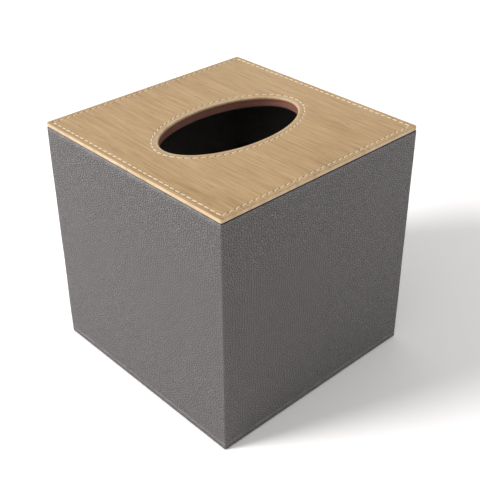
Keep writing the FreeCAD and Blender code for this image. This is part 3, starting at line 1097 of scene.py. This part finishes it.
def top_pad():
    """Pad leather: the rings with a groove along both stitch rows, crowned margins beside them and a dimple
    at every needle hole."""
    toward, inset, outside, level = pad_rings()
    count = stitches_per_side * stations_per_stitch
    share = np.linspace(-1, 1, count, endpoint=False)
    flat = oval_to_square(toward, inset, outside, pad_half, oval_axes, pad_corner_radii, share)
    on_top = level > pad_high[2] - pad_edge_radius
    by_edge = (toward == 0) & on_top
    by_oval = (toward == 1) & on_top
    station_pitch = 2 * (pad_half - edge_row_inset) / count
    from_hole = from_nearest(np.arange(4 * count), stations_per_stitch) * station_pitch
    fine, row_length = oval_row()
    angle = np.arctan2(flat[0, :, 1], flat[0, :, 0])
    length = np.interp(angle % (2 * np.pi), fine, row_length)
    from_oval_hole = from_nearest(length, row_length[-1] / oval_stitches)
    edge_off = (inset - edge_row_inset)[:, None]
    oval_off = (outside - oval_row_outside)[:, None]
    grooves = (
        by_edge[:, None] * np.exp(-((edge_off / row_half_width) ** 2))
        + by_oval[:, None] * np.exp(-((oval_off / row_half_width) ** 2))
    )
    holes = (
        by_edge[:, None] * np.exp(-((edge_off**2 + from_hole**2) / needle_radius**2))
        + by_oval[:, None] * np.exp(-((oval_off**2 + from_oval_hole**2) / needle_radius**2))
    )
    edge_crown = step_up(inset, *margin_rise) * step_up(inset, edge_row_inset - crown_to_row, margin_fall)
    oval_crown = step_up(outside, *lip_rise) * step_up(outside, oval_row_outside - crown_to_row, lip_fall)
    height = level + margin_crown * edge_crown * by_edge + lip_crown * oval_crown * by_oval
    height = height[:, None] - row_groove * grooves - needle_depth * holes
    points = np.concatenate([flat, height[..., None]], axis=2)
    # Paler rounded outline and lip: stretched leather and a painted highlight.
    pale = (toward == 0) * (1 - step_up(inset, *pale_edge))
    pale = pale + (toward == 1) * pale_lip_share * (1 - step_up(outside, *pale_lip))
    # Painted shade under the pad's tucked outline, added to the painted shade of the needle holes.
    underside = (toward == 0) & (inset > tucked_from) & (level < pad_low[2] + pad_gap + pad_tuck_radius / 2)
    painted = (toward == 1) * (outside < pad_leather) * step_up(pad_high[2] - level, *paint_below)
    masks = {
        "edge": np.broadcast_to(pale[:, None], height.shape),
        "needle": np.clip(needle_shade_gain * holes - needle_shade_from, 0, 1) + underside[:, None],
        "painted": np.broadcast_to(painted[:, None], height.shape),
    }
    return make_piece("pad_leather", points, carried_round(points), wood_grain(), masks)


stand_for(top_pad(), "top_pad_leather", "shell")

# Stitches
# Cream two-ply thread, sewn by machine along the outline of the pad and round the oval. Each stitch lies in
# the groove, slants a little across its row and dives into a needle hole at both ends.
thread_cream = (248, 236, 214)
thread_shade = (226, 206, 176)
thread_fibres = (2600.0, 2600.0, 2600.0), 2.0
thread_clouds = 500.0, 0.15
thread_roughness = 0.8, 0.65
thread_relief = 0.00008
thread_sheen = {"Sheen Weight": 0.15}
thread_radius = 0.37
thread_taper = 0.3
thread_flattening = 0.9
thread_lobes = 0.15
thread_turns = 1.5
stitch_slant = 9.0
stitch_slant_spread = 1.2
stitch_length_spread = 0.015
stitch_lift_spread = 0.02
stitch_end_gap = 0.3
stitch_rise = 0.12
stitch_dive = 0.42
stitch_sides = 8
stitch_steps = 6
edge_seed = 4
oval_seed = 9

thread_finish = fibrous(
    "cream thread", thread_shade, thread_cream, thread_fibres, thread_clouds, thread_roughness, thread_relief,
    thread_sheen,
)


def sew(name, middles, headings, pitch, random):
    """Row of stitches: each a short tube whose centre line drops with the cube of the way from its middle,
    into a needle hole at both ends, and whose radius tapers with the sixth power. Two lobes that turn along
    the tube make its twist, and each stitch differs a little."""
    count = len(middles)
    step = np.linspace(-1, 1, stitch_steps + 1)[None, :, None]
    angle = np.linspace(0, 2 * np.pi, stitch_sides, endpoint=False)[None, None, :]
    slant = stitch_slant + random.normal(0, stitch_slant_spread, count)
    stretch = 1 + random.normal(0, stitch_length_spread, count)
    lift = random.normal(0, stitch_lift_spread, count)[:, None, None]
    heading = (headings + np.radians(slant))[:, None, None]
    along = (pitch - stitch_end_gap) / 2 * stretch[:, None, None] * step
    lobes = 1 + thread_lobes * np.cos(2 * (angle - np.pi * thread_turns * step))
    radius = thread_radius * (1 - thread_taper * step**6) * lobes
    across = radius * np.cos(angle)
    arch = pad_high[2] - stitch_rise + lift - stitch_dive * np.abs(step) ** 3
    up = arch + thread_flattening * radius * np.sin(angle)
    x = middles[:, 0, None, None] + along * np.cos(heading) - across * np.sin(heading)
    y = middles[:, 1, None, None] + along * np.sin(heading) + across * np.cos(heading)
    points = np.stack(np.broadcast_arrays(x, y, up), axis=-1)
    one = numbered(points[0])
    starts = np.arange(count) * one.size
    faces = (starts[:, None, None] + quads(closed(one))[None]).reshape(-1, 4)
    ends = np.concatenate([starts[:, None] + one[0, ::-1], starts[:, None] + one[-1]])
    return make_piece(name, points, faces, thread_finish, caps=ends)


def edge_sewing():
    """Four straight rows along the outline, with as many stitches on each side."""
    row = pad_half - edge_row_inset
    pitch = 2 * row / stitches_per_side
    along = -row + (np.arange(stitches_per_side) + 0.5) * pitch
    middles = four_sides(np.stack([along, np.full_like(along, -row)], axis=1))
    headings = np.repeat(np.arange(4) * np.pi / 2, stitches_per_side)
    return sew("edge_sewing", middles, headings, pitch, np.random.default_rng(edge_seed))


def oval_sewing():
    """One row round the oval, evenly spaced along its length."""
    fine, row_length = oval_row()
    pitch = row_length[-1] / oval_stitches
    angle = np.interp((np.arange(oval_stitches) + 0.5) * pitch, row_length, fine)
    axes = oval_axes + oval_row_outside
    middles = oval_ring(axes[None], angle)[0]
    headings = np.arctan2(axes[1] * np.cos(angle), -axes[0] * np.sin(angle))
    return sew("oval_sewing", middles, headings, pitch, np.random.default_rng(oval_seed))


stand_for(edge_sewing(), "edge_stitches", "shell")
stand_for(oval_sewing(), "opening_stitches", "shell")

# Hinge strip
# A strip of the grey leather is let in flush across the back seam: glued to the back wall above it, over the
# edge of the base flap and under it. It is creased on the line where the cover tips back.
hinge_bend_radius = 1.1
hinge_spacing = 0.5
hinge_rub = 1.2
crease_depth = 0.3
crease_half_width = 0.5

fold_level = frame["joints"][0]["pos_m"][2] * 1000


def hinge_strip():
    """Flat sheet bent over the back edge: down the wall, round a quarter circle and along the underside, with
    a crease pressed into its outer face."""
    back, top, end = hinge_high[1], hinge_high[2], hinge_low[1]
    radius = hinge_bend_radius
    thickness = leather_thickness - hinge_skin - hidden_gap
    down = top - radius
    around = radius * np.pi / 2
    whole = down + around + (back - radius - end)
    points, faces = slab(hinge_high[0], whole / 2, thickness, face_spacing, hinge_spacing)
    x, path, height = points.T
    path = path + whole / 2
    crease = crease_depth * np.exp(-(((path - (top - fold_level)) / crease_half_width) ** 2))
    deep = thickness - height + crease * height / thickness
    angle = np.clip((path - down) / radius, 0, np.pi / 2)
    y = back - radius + (radius - deep) * np.cos(angle) - np.clip(path - down - around, 0, None)
    z = radius - (radius - deep) * np.sin(angle) + np.clip(down - path, 0, None)
    worn = np.exp(-(((path - down - around / 2) / hinge_rub) ** 2)) * (height > thickness / 2)
    placed = np.stack([x, y, z], axis=1)
    hide = np.stack([x, path, 0 * path], axis=1)
    return make_piece("hinge_leather", placed, faces, leather, {"edge": worn}, hide=hide)


hinge_piece = hinge_strip()
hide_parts("hinge_strip")
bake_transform(hinge_piece)

# Floor, light and camera
# A white table top under a pale sky, one large soft lamp low on the left and a little behind, a weak fill
# from the right, and the camera above the front left edge.
floor_white = (250, 247, 247)
floor_half = 3.0
floor_level = -0.0002
floor_seen = 1.38
floor_shaded = 0.45
floor_plain = 1.0
plain_white = (1.0, 1.0, 1.0, 1.0)
sky_strength = 0.49
lamp_heading = 152.5
lamp_elevation = 33.0
lamp_distance = 4.0
lamp_size = 1.4
lamp_power = 133.0
fill_heading = -50.0
fill_elevation = 10.0
fill_distance = 0.9
fill_size = 0.7
fill_power = 1.2
frame_pixels = 480
focal_pixels = 899.9
sensor_width = 36.0
nearest_seen = 0.01
camera_azimuth = -42.888
camera_elevation = 32.408
camera_roll = -0.353
camera_distance = 0.55716
camera_target = Vector((0.00607, -0.00079, 0.06971))


def seen_rays(tree):
    """1 for what the camera sees, straight on, reflected or through glass, and 0 for what gives light."""
    rays = tree.nodes.new("ShaderNodeLightPath").outputs
    seen = calc(tree, "MAXIMUM", rays["Is Camera Ray"], rays["Is Glossy Ray"])
    return calc(tree, "MAXIMUM", seen, rays["Is Transmission Ray"])


def floor_finish():
    """White matt table top, seen a little brighter than it lights, so that it is plain white outside the
    shade. Further away it glows, only as far as it is seen, and so stays white up to the horizon."""
    material, tree, shader, place = start_material("white table")
    white = tint(*floor_white)
    bright = (*(np.array(white[:3]) * floor_seen).tolist(), 1.0)
    seen = seen_rays(tree)
    distance = add(tree, "VectorMath", {0: place}, output="Value", operation="LENGTH")
    glow = calc(tree, "MULTIPLY", spread(tree, distance, floor_shaded, floor_plain), seen)
    feed(tree, shader, {
        "Base Color": blend_colour(tree, seen, white, bright),
        "Emission Color": plain_white,
        "Emission Strength": glow,
        "Roughness": 0.9,
        "Specular IOR Level": 0.1,
    })
    return material


floor_mesh = bpy.data.meshes.new("table")
corners = np.array([(-1, -1, 0), (1, -1, 0), (1, 1, 0), (-1, 1, 0)]) * floor_half + [0, 0, floor_level]
floor_mesh.from_pydata(corners.tolist(), [], [(0, 1, 2, 3)])
floor_mesh.materials.append(floor_finish())
table = bpy.data.objects.new("table", floor_mesh)
bpy.context.scene.collection.objects.link(table)

world = bpy.data.worlds.new("pale sky")
bpy.context.scene.world = world
world.use_nodes = True
sky = world.node_tree
strength = add(sky, "MapRange", {"Value": seen_rays(sky), "To Min": sky_strength, "To Max": 1.0})
feed(sky, sky.nodes["Background"], {"Color": plain_white, "Strength": strength})


def direction(heading, elevation):
    """Unit vector towards a heading, anticlockwise from +X, and an elevation, in degrees."""
    across, above = np.radians(heading), np.radians(elevation)
    return Vector((np.cos(across) * np.cos(above), np.sin(across) * np.cos(above), np.sin(above)))


def soft_lamp(name, heading, elevation, distance, size, power):
    """Round lamp that looks at the origin from a heading, an elevation and a distance."""
    data = bpy.data.lights.new(name, "AREA")
    data.shape = "DISK"
    data.size = size
    data.energy = power
    lamp = bpy.data.objects.new(name, data)
    towards_lamp = direction(heading, elevation)
    lamp.location = towards_lamp * distance
    lamp.rotation_mode = "QUATERNION"
    lamp.rotation_quaternion = towards_lamp.to_track_quat("Z", "Y")
    bpy.context.scene.collection.objects.link(lamp)


soft_lamp("window", lamp_heading, lamp_elevation, lamp_distance, lamp_size, lamp_power)
soft_lamp("pale card", fill_heading, fill_elevation, fill_distance, fill_size, fill_power)

camera_data = bpy.data.cameras.new("camera")
camera_data.sensor_width = sensor_width
camera_data.lens = focal_pixels * sensor_width / frame_pixels
camera_data.clip_start = nearest_seen
camera = bpy.data.objects.new("camera", camera_data)
towards_camera = direction(camera_azimuth - 90, camera_elevation)
level_turn = towards_camera.to_track_quat("Z", "Y").to_matrix()
turn = level_turn @ Matrix.Rotation(np.radians(camera_roll), 3, "Z")
camera.matrix_world = Matrix.Translation(camera_target + towards_camera * camera_distance) @ turn.to_4x4()
bpy.context.scene.collection.objects.link(camera)
bpy.context.scene.camera = camera
bpy.context.scene.view_settings.view_transform = "Standard"
